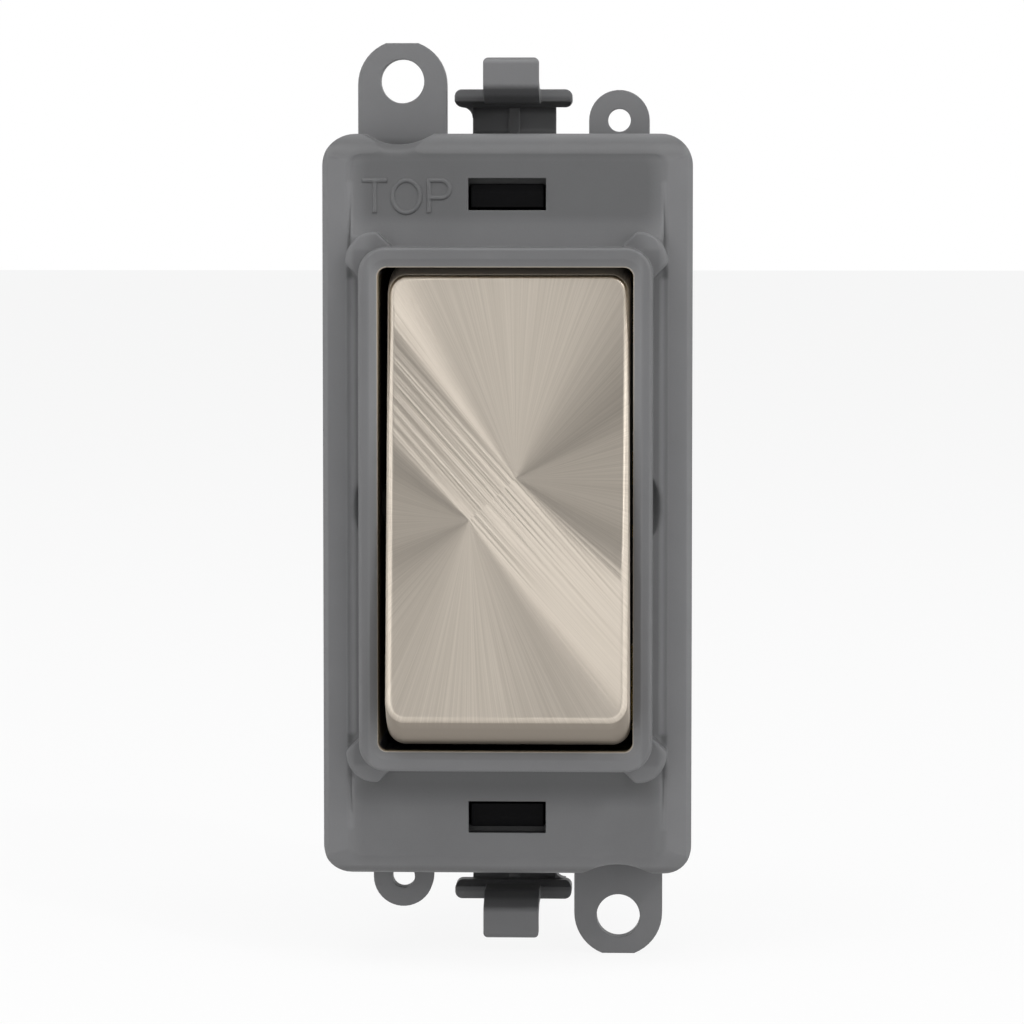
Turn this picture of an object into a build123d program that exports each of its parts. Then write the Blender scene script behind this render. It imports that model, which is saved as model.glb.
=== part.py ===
from build123d import *
from math import cos, radians, sin, sqrt
import os

# Grid switch module, seen from the front: X to the right, Z up, front facing -Y.
# Heights are measured forward from the plane of the rear faces of the fixing lugs,
# depths rearward from the same plane. All sizes are in millimetres.

# Rocker, measured from its pivot
rocker_width = 18.1
rocker_side_taper = 0.15
rocker_swing_radius = 18.15
rocker_face_height = 7.8
rocker_rim_height = 2.5
cap_thickness = 0.8
cap_corner = 1.45
cap_edge = 0.5
rest_tilt = 7.4
rocker_side_play = 0.21
carrier_fit = 0.15
carrier_low = 0.8
carrier_wall = 1.2
carrier_web = 1.35
beam_half_height = 2.3
beam_depth = 1.6
beam_side_gap = 0.4
trunnion_radius = 1.5
trunnion_end_gap = 0.4

# Plunger and spring in the rocker
plunger_radius = 1.5
plunger_nose_round = 1.4
plunger_bore_clearance = 0.08
plunger_inner_end = 3.0
spigot_radius = 0.8
spigot_length = 1.2
nose_clearance = 0.1
tube_wall = 0.95
tube_length = 7.2
spring_wire_radius = 0.2
spring_coil_radius = 1.15
spring_turns = 7
spring_seat_gap = 0.05
spring_bore_height = 3.0

# Front plate and collar
panel_height = 8.6
panel_thickness = 1.6
end_panel_length = 8.36
plate_corner = 2.4
skirt_wall = 1.5
skirt_corner = 1.0
end_round = 2.3
band_width = 2.15
band_rise = 0.2
band_slope = 0.3
band_fall = 0.15
band_edge = 0.4
recess_inset = 1.5
recess_corner = 1.0
ramp_length = 4.6
ramp_rise = 0.7
collar_height = 4.0
collar_side_wall = 1.42
collar_end_wall = 0.74
collar_corner = 2.0
collar_edge = 0.3
collar_lip = 1.0
opening_corner = 0.7
lip_slope_width = 0.6
lip_slope_depth = 0.25
side_gap = 0.35
end_gap = 0.45
lip_gap = 0.67
pivot_setback = 6.85
chamber_depth = 4.55
bearing_clearance = 0.05
gusset_radius = 2.1
gusset_width = 3.3
gusset_height = 1.8
gusset_inset = 1.03
gusset_corner = 0.4
gusset_edge = 0.15
pocket_length = 4.4
pocket_width = 0.6
pocket_ball = 6.0

# Windows for the snap hooks of the rear case
window_width = 5.75
window_height = 2.35
window_inset = 4.5
window_ledge = 0.5
ledge_depth = 0.95

# Fixing lugs
lug_thickness = 1.4
lug_inset = 5.55
lug_reach = 4.0
lug_radius = 3.35
lug_flat = 2.87
lug_arc_drop = 0.25
lug_hole_radius = 1.65
small_lug_reach = 1.06
small_lug_radius = 2.28
small_lug_hole_radius = 0.86
scoop_radius = 4.82
scoop_wall = 1.48
scoop_round = 1.15

# Snap latches at both ends
latch_thickness = 1.35
latch_gap = 2.15
latch_depth = 6.6
latch_bend = 1.2
latch_width = 6.4
latch_rib_width = 0.8
latch_rib_rise = 0.3
wing_width = 9.0
wing_corner = 0.55
wing_setback = 3.7
wing_depth = 5.9
wing_strip = 0.94
wing_web = 0.8
tab_width = 4.2
tab_corner = 0.4
tab_reach = 2.3
tab_front = 1.4
tab_rise = 2.4
tab_thickness = 1.1
tab_bend = 0.5

# Rear case
case_fit = 0.12
skirt_fit = 0.2
case_wall = 1.1
case_corner = 1.5
case_end_gap = 0.4
case_floor = 1.2
case_edge = 0.6
rim_gap = 0.1
post_half_height = 1.35
post_side_gap = 0.1
post_depth = 2.0
hook_width = 5.4
hook_thickness = 1.4
hook_clearance = 0.25
hook_nib = 0.35
hook_tip = 0.4

# Rocking contact
contact_distance = 11.25
contact_tilt = 9.0
contact_half_width = 2.5
contact_half_length = 11.2
contact_thickness = 0.8
knife_radius = 0.15
knife_clearance = 0.05
tip_reach = 9.5
tip_radius = 1.5
tip_height = 0.75
tip_dome = 0.3
contact_gap = 0.08

# Fixed contacts and cradle
fixed_tip_radius = 1.6
fixed_tip_height = 0.8
strip_thickness = 0.8
strip_margin = 0.5
strip_lap = 2.3
pad_height = 2.6
pad_gap = 0.05
cradle_gap = 0.15
cradle_wall = 0.55
cradle_base_drop = 0.8
cradle_base = 0.8
cradle_half_length = 2.4
cradle_horn = 0.6

# Terminals
terminal_end_room = 4.28
terminal_half_width = 3.3
terminal_fit = 0.12
terminal_wall = 1.1
terminal_end_wall = 1.2
terminal_edge = 0.3
bore_offset = 0.6
wire_bore_radius = 2.2
screw_engagement = 4.3
screw_radius = 1.75
screw_clearance = 0.05
screw_well_clearance = 0.25
screw_recess = 0.15
screw_tip_gap = 0.1
screw_tip_chamfer = 0.4
slot_width = 0.7
slot_depth = 0.9
tower_wall = 1.2
tower_inset = 0.15
tower_floor = 1.4
entry_clearance = 0.3
entry_flare = 0.6
rib_drop = 0.6
leg_width = 1.2
leg_gap = 0.1

# Places that follow from the sizes above
opening_half_width = rocker_width / 2 + side_gap
cavity_half_length = rocker_swing_radius + end_gap
collar_half_width = opening_half_width + collar_side_wall
collar_half_length = cavity_half_length + collar_end_wall
collar_front = panel_height + collar_height
pivot_height = collar_front - pivot_setback
lip_rear = collar_front - collar_lip
swing_at_lip = sqrt(rocker_swing_radius**2 - (lip_rear - pivot_height) ** 2)
opening_half_length = swing_at_lip + lip_gap
chamber_rear = pivot_height - chamber_depth
bearing_radius = trunnion_radius + bearing_clearance

case_inner_half_width = collar_half_width + case_fit
case_half_width = case_inner_half_width + case_wall
skirt_inner_half_width = case_half_width + skirt_fit
plate_half_width = skirt_inner_half_width + skirt_wall
band_inner = plate_half_width - band_width
band_height = panel_height + band_rise
plate_half_length = collar_half_length + end_panel_length
skirt_inner_half_length = plate_half_length - skirt_wall
panel_underside = panel_height - panel_thickness
pocket_reach = (pocket_length**2 / 4 + pocket_width**2) / (2 * pocket_width)
pocket_x = collar_half_width + pocket_width - pocket_reach
pocket_lift = sqrt(pocket_ball**2 - pocket_reach**2)

lug_x = plate_half_width - lug_inset
lug_z = plate_half_length + lug_reach
small_lug_z = plate_half_length + small_lug_reach
window_z = plate_half_length - window_inset
ledge_height = panel_height - ledge_depth
through_window_outer = window_z + window_height / 2 - window_ledge

latch_inner_z = plate_half_length - latch_thickness / 2
latch_outer_z = latch_inner_z + latch_thickness + latch_gap
latch_top_z = latch_outer_z + latch_thickness / 2

case_front = panel_underside - rim_gap
case_half_length = lug_z - scoop_radius - scoop_wall - case_end_gap
case_inner_half_length = case_half_length - case_wall

contact_depth = contact_distance - pivot_height
contact_lift = knife_radius + knife_clearance
contact_front = contact_lift + contact_thickness
nose_distance = contact_distance - contact_front - nose_clearance
dome_radius = (tip_radius**2 + tip_dome**2) / (2 * tip_dome)
dome_centre = dome_radius - tip_height + contact_lift
tilt_drop = tip_reach * sin(radians(contact_tilt))
tip_rear_depth = contact_depth + tilt_drop - dome_centre * cos(radians(contact_tilt)) + dome_radius
fixed_tip_front = tip_rear_depth + contact_gap
strip_front = fixed_tip_front + fixed_tip_height
strip_rear = strip_front + strip_thickness
floor_depth = strip_rear + pad_gap + pad_height
case_rear = floor_depth + case_floor
cradle_base_front = contact_depth + cradle_base_drop
cradle_base_rear = cradle_base_front + cradle_base

block_inner_x = contact_half_width + cradle_gap + cradle_wall
block_outer_x = case_inner_half_width - terminal_fit
block_x = (block_inner_x + block_outer_x) / 2
bore_depth = strip_front + bore_offset
block_front = bore_depth - wire_bore_radius - terminal_wall
block_rear = bore_depth + wire_bore_radius + screw_engagement
tower_floor_depth = block_rear + terminal_fit
tower_rear = tower_floor_depth + tower_floor
tower_half_width = terminal_half_width + terminal_fit + tower_wall
terminal_spacing = case_inner_half_length - tower_half_width - terminal_end_room
tower_inner_x = block_inner_x - terminal_fit - tower_wall
screw_front = bore_depth + wire_bore_radius + screw_tip_gap
screw_rear = tower_rear - screw_recess
terminal_places = {"upper": terminal_spacing, "common": 0, "lower": -terminal_spacing}


# Front, side and cross planes through a point, leaned about X.
# Local axes are (x, up), (up, forward) and (x, forward).
def leaned_planes(origin, lean):
    up = Vector(0, sin(radians(lean)), cos(radians(lean)))
    forward = Vector(0, -cos(radians(lean)), sin(radians(lean)))
    front_plane = Plane(origin=origin, x_dir=(1, 0, 0), z_dir=forward)
    side_plane = Plane(origin=origin, x_dir=up, z_dir=(1, 0, 0))
    cross_plane = Plane(origin=origin, x_dir=(1, 0, 0), z_dir=-up)
    return front_plane, side_plane, cross_plane


front, side, cross = leaned_planes((0, 0, 0), 0)
pivot = (rocker_side_play, -pivot_height, 0)
rocker_front, rocker_side, rocker_cross = leaned_planes(pivot, rest_tilt)
contact_front_plane, contact_side = leaned_planes((0, contact_depth, 0), -contact_tilt)[:2]


# Wings of a snap latch: a bar across the strip, sloped in front and behind, round at the ends
with BuildPart() as latch_wings:
    with BuildSketch(side):
        with BuildLine():
            Polyline(
                (latch_top_z, -wing_setback),
                (latch_top_z - wing_strip, -wing_setback),
                (latch_top_z - latch_thickness, -wing_setback - wing_strip),
                (latch_top_z - latch_thickness, -wing_depth),
                (latch_top_z - wing_strip, -wing_depth),
                (latch_top_z, -wing_depth + wing_strip),
                close=True,
            )
        make_face()
    extrude(amount=wing_width / 2, both=True)
    with BuildSketch(front.offset(-wing_depth)):
        with Locations((0, latch_outer_z)):
            RectangleRounded(wing_width, latch_thickness, wing_corner)
    extrude(amount=wing_depth - wing_setback, mode=Mode.INTERSECT)

# Release tab of a snap latch, bent outward from the strip and round at its corners
with BuildPart() as release_tab:
    with BuildSketch(side):
        with BuildLine():
            tab_inner_z = latch_top_z - tab_thickness
            tab_root = tab_front - tab_rise
            FilletPolyline(
                (tab_inner_z, -wing_setback - wing_strip),
                (tab_inner_z, tab_root),
                (latch_top_z, tab_front),
                (latch_top_z + tab_reach, tab_front),
                (latch_top_z + tab_reach, tab_front - tab_thickness),
                (latch_top_z + tab_thickness / 2, tab_front - tab_thickness),
                (latch_top_z, tab_root - tab_thickness / 2),
                (latch_top_z, -wing_setback),
                radius=tab_bend,
            )
            Line((latch_top_z, -wing_setback), (tab_inner_z, -wing_setback - wing_strip))
        make_face()
    extrude(amount=tab_width / 2, both=True)
    with BuildSketch(front.offset(-wing_depth)):
        with Locations((0, latch_top_z + tab_reach)):
            tab_length = tab_reach + 2 * latch_thickness
            RectangleRounded(tab_width, tab_length, tab_corner, align=(Align.CENTER, Align.MAX))
    extrude(amount=wing_depth + tab_front, mode=Mode.INTERSECT)

# Snap latch of the upper end: a strip bent round a gap, two wings and the release tab
with BuildPart() as latch:
    with BuildSketch(side):
        with BuildLine():
            FilletPolyline(
                (latch_inner_z, lug_thickness),
                (latch_inner_z, -latch_depth),
                (latch_outer_z, -latch_depth),
                (latch_outer_z, -wing_setback - wing_strip),
                radius=latch_bend,
            )
        trace(line_width=latch_thickness)
    extrude(amount=latch_width / 2, both=True)
    add(latch_wings.part)
    add(release_tab.part)
    with BuildSketch(front.offset(-latch_depth)):
        with Locations((0, (latch_inner_z + latch_outer_z) / 2)):
            Rectangle(latch_rib_width, latch_outer_z - latch_inner_z)
    extrude(amount=latch_thickness / 2 + latch_rib_rise)

    # Rounded web under the wing on one side of the bend
    with BuildSketch(front.offset(-latch_depth)):
        with BuildLine():
            wing_foot = latch_top_z - latch_thickness
            web_x = -latch_width / 2
            web_curve = RadiusArc((web_x - wing_web, wing_foot), (web_x, wing_foot - wing_web), wing_web)
            Polyline(web_curve @ 1, (web_x, wing_foot), web_curve @ 0)
        make_face()
    extrude(amount=latch_depth - wing_depth + latch_thickness / 2)

# Gusset of the upper right corner, from the panel up beside the collar
with BuildPart() as gusset:
    with BuildSketch(front.offset(panel_underside)):
        with Locations((collar_half_width - gusset_inset, collar_half_length - gusset_inset)):
            Circle(gusset_radius)
            Rectangle(4 * gusset_radius, gusset_width, rotation=45, mode=Mode.INTERSECT)
    extrude(amount=panel_thickness + gusset_height)
    fillet(gusset.edges().filter_by(Axis.Y), gusset_corner)
    fillet(gusset.faces().sort_by(Axis.Y)[0].edges(), gusset_edge)

# Front housing: plate, collar, lugs and latches in one moulding
with BuildPart() as front_housing:
    with BuildSketch(side):
        with BuildLine():
            edge_height = panel_height - end_round
            top_round = band_height - edge_height
            l1 = Line((0, 0), (plate_half_length, 0))
            l2 = Line(l1 @ 1, (plate_half_length, edge_height))
            l3 = RadiusArc(l2 @ 1, (plate_half_length - top_round, band_height), -top_round)
            l4 = Line(l3 @ 1, (0, band_height))
            Line(l4 @ 1, l1 @ 0)
        make_face()
        mirror(about=Plane.YZ)
    extrude(amount=plate_half_width, both=True)
    with BuildSketch(cross):
        with BuildLine():
            Polyline(
                (0, band_height),
                (band_inner, band_height),
                (plate_half_width - band_edge, band_height - band_fall),
                (plate_half_width, band_height - band_fall - band_edge),
                (plate_half_width, 0),
                (0, 0),
                close=True,
            )
        make_face()
        mirror(about=Plane.YZ)
    extrude(amount=plate_half_length, both=True, mode=Mode.INTERSECT)
    with BuildSketch(front):
        RectangleRounded(2 * plate_half_width, 2 * plate_half_length, plate_corner)
    extrude(amount=band_height, mode=Mode.INTERSECT)

    # Panel sunk between the side bands, with sloped sides
    for rise, spread in ((0, 0), (band_rise, band_slope)):
        with BuildSketch(front.offset(panel_height + rise)):
            RectangleRounded(
                2 * (band_inner + spread),
                2 * (plate_half_length - recess_inset + spread),
                recess_corner + spread,
            )
    loft(mode=Mode.SUBTRACT)

    # Hollow behind the panel, thickened round the screw scoops
    with BuildSketch(front):
        RectangleRounded(2 * skirt_inner_half_width, 2 * skirt_inner_half_length, skirt_corner)
        with PolarLocations(0, 2):
            with Locations((-lug_x, lug_z)):
                Circle(scoop_radius + scoop_wall, mode=Mode.SUBTRACT)
    extrude(amount=panel_underside, mode=Mode.SUBTRACT)

    # Ramps from the end panels up to the foot of the collar
    with BuildSketch(side):
        with BuildLine():
            foot = collar_half_length + ramp_length
            crown = (collar_half_length - collar_edge, panel_height + ramp_rise)
            low_line = Line((foot, panel_underside), (foot, panel_height))
            ramp = TangentArc(low_line @ 1, crown, tangent=(-1, 0))
            Polyline(ramp @ 1, (crown[0], panel_underside), low_line @ 0)
        make_face()
        mirror(about=Plane.YZ)
    extrude(amount=band_inner, both=True)

    # Shallow pockets beside the collar, level with the pivot
    with Locations(*[(pocket_side * pocket_x, -panel_height - pocket_lift, 0) for pocket_side in (-1, 1)]):
        Sphere(pocket_ball, mode=Mode.SUBTRACT)

    # Collar round the rocker, running back as the rocker's chamber
    with BuildSketch(front.offset(chamber_rear)):
        RectangleRounded(2 * collar_half_width, 2 * collar_half_length, collar_corner)
    extrude(amount=collar_front - chamber_rear)
    fillet(front_housing.faces().sort_by(Axis.Y)[0].edges(), collar_edge)
    for corner in (gusset.part, gusset.part.mirror(Plane.YZ)):
        add(corner)
        add(corner.mirror(Plane.XY))
    with BuildSketch(front.offset(chamber_rear)):
        Rectangle(2 * opening_half_width, 2 * cavity_half_length)
    extrude(amount=lip_rear - chamber_rear, mode=Mode.SUBTRACT)
    with BuildSketch(front.offset(lip_rear)):
        RectangleRounded(2 * opening_half_width, 2 * opening_half_length, opening_corner)
    extrude(amount=collar_lip, mode=Mode.SUBTRACT)
    rim_face = front_housing.faces().sort_by(Axis.Y)[0]
    chamfer(rim_face.inner_wires()[0].edges(), lip_slope_width, lip_slope_depth, reference=rim_face)

    # Bearing slots for the trunnions, open to the rear
    with BuildSketch(side):
        with Locations((0, pivot_height)):
            Circle(bearing_radius)
        with Locations((0, (pivot_height + chamber_rear) / 2)):
            Rectangle(2 * bearing_radius, pivot_height - chamber_rear)
    extrude(amount=collar_half_width + case_fit / 2, both=True, mode=Mode.SUBTRACT)

    # Windows with a ledge for the snap hooks
    with BuildSketch(front.offset(ledge_height)):
        with Locations((0, window_z), (0, -window_z)):
            Rectangle(window_width, window_height)
    extrude(amount=panel_thickness, mode=Mode.SUBTRACT)
    with BuildSketch(front.offset(panel_underside)):
        with PolarLocations(0, 2):
            with Locations((0, window_z - window_ledge / 2)):
                Rectangle(window_width, window_height - window_ledge)
    extrude(amount=panel_thickness, mode=Mode.SUBTRACT)

    # Lugs, with the plate scooped back round the heads of the fixing screws
    with BuildSketch(front):
        with PolarLocations(0, 2):
            with Locations((-lug_x, lug_z - lug_arc_drop)):
                Circle(lug_radius)
                Rectangle(2 * lug_radius, lug_reach + skirt_wall, align=(Align.CENTER, Align.MAX))
            with Locations((-lug_x, lug_z + lug_flat)):
                Rectangle(
                    2 * lug_radius, lug_radius, align=(Align.CENTER, Align.MIN), mode=Mode.SUBTRACT
                )
            with Locations((lug_x, small_lug_z)):
                Circle(small_lug_radius)
                Rectangle(
                    2 * small_lug_radius, small_lug_reach + skirt_wall / 2, align=(Align.CENTER, Align.MAX)
                )
    extrude(amount=lug_thickness)
    with BuildSketch(front.offset(lug_thickness)):
        with PolarLocations(0, 2):
            with Locations((-lug_x, lug_z)):
                Circle(scoop_radius)
    extrude(amount=panel_height, mode=Mode.SUBTRACT)
    for turn in (1, -1):
        lug_point = (-turn * lug_x, 0, turn * lug_z)
        with BuildSketch(leaned_planes(lug_point, 0)[2]):
            with Locations((scoop_radius, panel_height - scoop_round)):
                Rectangle(scoop_round, 2 * scoop_round, align=(Align.MIN, Align.MIN))
            with Locations((scoop_radius + scoop_round, panel_height - scoop_round)):
                Circle(scoop_round, mode=Mode.SUBTRACT)
        revolve(axis=Axis(lug_point, (0, -1, 0)), mode=Mode.SUBTRACT)
    with BuildSketch(front):
        with PolarLocations(0, 2):
            with Locations((-lug_x, lug_z)):
                Circle(lug_hole_radius)
            with Locations((lug_x, small_lug_z)):
                Circle(small_lug_hole_radius)
    extrude(amount=lug_thickness, mode=Mode.SUBTRACT)

    # Legs that hold the terminals down in the case
    with BuildSketch(front.offset(chamber_rear)):
        leg_x = (opening_half_width + collar_half_width) / 2
        leg_places = [(leg_x, terminal_spacing), (leg_x, -terminal_spacing)]
        for leg_side in (-1, 1):
            leg_places.append((leg_x, leg_side * (bearing_radius + leg_width)))
        with Locations(*leg_places):
            Rectangle(collar_side_wall, leg_width)
    extrude(amount=-(chamber_rear + block_front - leg_gap))
    add(latch.part)
    add(latch.part.rotate(Axis.Y, 180))


# Block with curved ends that swing about the pivot, straight tapered sides and round corners
def rocker_form(base_half_width, face_half_width, swing, low, high, corner):
    with BuildPart() as form:
        with BuildSketch(rocker_side):
            Circle(swing)
            with Locations((0, (low + high) / 2)):
                Rectangle(2 * swing, high - low, mode=Mode.INTERSECT)
        extrude(amount=base_half_width, both=True)
        with BuildSketch(rocker_cross):
            with BuildLine():
                Polyline(
                    (-base_half_width, low),
                    (base_half_width, low),
                    (face_half_width, high),
                    (-face_half_width, high),
                    close=True,
                )
            make_face()
        extrude(amount=swing, both=True, mode=Mode.INTERSECT)
        fillet(form.edges().filter_by(GeomType.LINE, reverse=True), corner)
    return form.part


# Metal cap over the rocker
base_half = rocker_width / 2
face_half = base_half - rocker_side_taper
cap_outside = rocker_form(
    base_half, face_half, rocker_swing_radius, rocker_rim_height, rocker_face_height, cap_corner
)
cap_inside = rocker_form(
    base_half - cap_thickness,
    face_half - cap_thickness,
    rocker_swing_radius - cap_thickness,
    rocker_rim_height - cap_thickness,
    rocker_face_height - cap_thickness,
    cap_corner - cap_thickness,
)
with BuildPart() as rocker_cap:
    add(cap_outside)
    fillet(rocker_cap.faces().sort_by(Axis.Y)[0].edges(), cap_edge)
    add(cap_inside, mode=Mode.SUBTRACT)

# Carrier moulding inside the cap, with its trunnions and the plunger tube
carrier_half = face_half - cap_thickness - carrier_fit
carrier_swing = rocker_swing_radius - cap_thickness - carrier_fit
carrier_top = rocker_face_height - cap_thickness
tube_radius = plunger_radius + plunger_bore_clearance + tube_wall
carrier_body = rocker_form(
    carrier_half, carrier_half, carrier_swing, carrier_low, carrier_top, cap_corner - cap_thickness
)
with BuildPart() as rocker_carrier:
    add(carrier_body)
    pocket_length = carrier_swing - tube_radius - carrier_wall - 2 * carrier_wall
    with BuildSketch(rocker_front.offset(carrier_low)):
        for pocket_side in (-1, 1):
            pocket_middle = pocket_side * (tube_radius + carrier_wall + pocket_length / 2)
            with Locations((0, pocket_middle)):
                Rectangle(2 * (carrier_half - carrier_wall), pocket_length)
    extrude(amount=carrier_top - carrier_low - carrier_web, mode=Mode.SUBTRACT)
    with BuildSketch(rocker_cross):
        with Locations((0, (rocker_rim_height - carrier_fit - beam_depth) / 2)):
            Rectangle(2 * (opening_half_width - beam_side_gap), rocker_rim_height - carrier_fit + beam_depth)
    extrude(amount=beam_half_height, both=True)
    with BuildSketch(rocker_side):
        Circle(trunnion_radius)
    extrude(amount=collar_half_width - trunnion_end_gap + case_fit, both=True)
    with BuildSketch(rocker_front.offset(-tube_length)):
        Circle(tube_radius)
    extrude(amount=tube_length + carrier_top - carrier_web)
    with BuildSketch(rocker_front.offset(-tube_length)):
        Circle(plunger_radius + plunger_bore_clearance)
    extrude(amount=tube_length + spring_bore_height, mode=Mode.SUBTRACT)

# Plunger with a rounded nose and a spigot for the spring
with BuildPart() as toggle_plunger:
    with BuildSketch(rocker_front.offset(-nose_distance)):
        Circle(plunger_radius)
    extrude(amount=nose_distance - plunger_inner_end)
    fillet(toggle_plunger.edges().sort_by(Axis.Y)[-1], plunger_nose_round)
    with BuildSketch(rocker_front.offset(-plunger_inner_end)):
        Circle(spigot_radius)
    extrude(amount=spigot_length)

# Coil spring between the plunger and the end of its bore
spring_low = -plunger_inner_end + spring_wire_radius + spring_seat_gap
spring_high = spring_bore_height - spring_wire_radius - spring_seat_gap
spring_length = spring_high - spring_low
with BuildPart() as toggle_spring:
    with BuildLine():
        spring_start = rocker_front.offset(spring_low)
        coil = Helix(
            spring_length / spring_turns,
            spring_length,
            spring_coil_radius,
            center=spring_start.origin,
            direction=spring_start.z_dir,
        )
    with BuildSketch(Plane(origin=coil @ 0, z_dir=coil % 0)):
        Circle(spring_wire_radius)
    sweep(is_frenet=True)

# Rocking contact, pressed down at its lower end at rest
with BuildPart() as moving_contact:
    with BuildSketch(contact_front_plane.offset(contact_lift)):
        RectangleRounded(2 * contact_half_width, 2 * contact_half_length, contact_half_width / 2)
    extrude(amount=contact_thickness)


# Silver tip with a domed face, riveted to the rear of the rocking contact
def moving_tip(place):
    with BuildPart() as tip:
        with BuildSketch(contact_side):
            with BuildLine():
                rear = contact_lift - tip_height
                l1 = Line((place, contact_lift), (place + tip_radius, contact_lift))
                l2 = Line(l1 @ 1, (place + tip_radius, rear + tip_dome))
                l3 = RadiusArc(l2 @ 1, (place, rear), dome_radius)
                Line(l3 @ 1, l1 @ 0)
            make_face()
        revolve(axis=Axis(contact_side.from_local_coords(Vector(place, 0, 0)), contact_side.y_dir))
    return tip


moving_tip_upper = moving_tip(tip_reach)
moving_tip_lower = moving_tip(-tip_reach)


# Contact strip from a terminal to the fixed tip on the middle line
def contact_strip(end):
    inner_z = tip_reach - fixed_tip_radius - strip_margin / 2
    outer_z = terminal_spacing - terminal_half_width + strip_lap
    left_x = -fixed_tip_radius - strip_margin
    with BuildPart() as strip:
        with BuildSketch(front.offset(-strip_rear)):
            with Locations(((left_x + block_inner_x) / 2, end * (inner_z + outer_z) / 2)):
                Rectangle(block_inner_x - left_x, outer_z - inner_z)
        extrude(amount=strip_thickness)
        fillet(strip.edges().filter_by(Axis.Y).group_by(Axis.X)[0], strip_margin)
    return strip


# Round silver tip on the front of a contact strip
def fixed_tip(end):
    with BuildPart() as tip:
        with BuildSketch(front.offset(-strip_front)):
            with Locations((0, end * tip_reach)):
                Circle(fixed_tip_radius)
        extrude(amount=fixed_tip_height)
        chamfer(tip.faces().sort_by(Axis.Y)[0].edges(), tip_dome)
    return tip


upper_contact_strip = contact_strip(1)
lower_contact_strip = contact_strip(-1)
upper_fixed_tip = fixed_tip(1)
lower_fixed_tip = fixed_tip(-1)

# Cradle: a channel with a rounded knife edge that the rocking contact tilts on
with BuildPart() as common_cradle:
    with BuildSketch(cross):
        with BuildLine():
            outer = block_inner_x
            inner = outer - cradle_wall
            horn = cradle_horn - contact_depth
            Polyline(
                (-outer, -cradle_base_rear),
                (-outer, horn),
                (-inner, horn),
                (-inner, -cradle_base_front),
                (inner, -cradle_base_front),
                (inner, horn),
                (outer, horn),
                (outer, -cradle_base_rear),
                close=True,
            )
        make_face()
    extrude(amount=cradle_half_length, both=True)
    with BuildSketch(side):
        with BuildLine():
            Line((-cradle_base, -cradle_base_front), (cradle_base, -cradle_base_front))
            CenterArc((0, -contact_depth), knife_radius, 0, 360)
        make_hull()
    extrude(amount=inner, both=True)


# Pillar terminal with a blind wire bore from the right and a screw hole from the rear
def pillar_terminal(place):
    with BuildPart() as pillar:
        with BuildSketch(front.offset(-block_rear)):
            with Locations((block_x, place)):
                Rectangle(block_outer_x - block_inner_x, 2 * terminal_half_width)
        extrude(amount=block_rear - block_front)
        chamfer(pillar.edges().filter_by(Axis.Y), terminal_edge)
        with BuildSketch(side.offset(block_outer_x)):
            with Locations((place, -bore_depth)):
                Circle(wire_bore_radius)
        extrude(amount=-(block_outer_x - block_inner_x - terminal_end_wall), mode=Mode.SUBTRACT)
        with BuildSketch(front.offset(-block_rear)):
            with Locations((block_x, place)):
                Circle(screw_radius + screw_clearance)
        extrude(amount=screw_engagement + wire_bore_radius, mode=Mode.SUBTRACT)
    return pillar


# Headless slotted terminal screw, backed out so that its wire bore is clear
def terminal_screw(place):
    with BuildPart() as screw:
        with BuildSketch(front.offset(-screw_rear)):
            with Locations((block_x, place)):
                Circle(screw_radius)
        extrude(amount=screw_rear - screw_front)
        chamfer(screw.edges().sort_by(Axis.Y)[0], screw_tip_chamfer)
        with BuildSketch(front.offset(-screw_rear)):
            with Locations((block_x, place)):
                Rectangle(2 * screw_radius, slot_width)
        extrude(amount=slot_depth, mode=Mode.SUBTRACT)
    return screw


upper_terminal = pillar_terminal(terminal_places["upper"])
common_terminal = pillar_terminal(terminal_places["common"])
lower_terminal = pillar_terminal(terminal_places["lower"])
terminal_screw_upper = terminal_screw(terminal_places["upper"])
terminal_screw_common = terminal_screw(terminal_places["common"])
terminal_screw_lower = terminal_screw(terminal_places["lower"])

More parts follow.
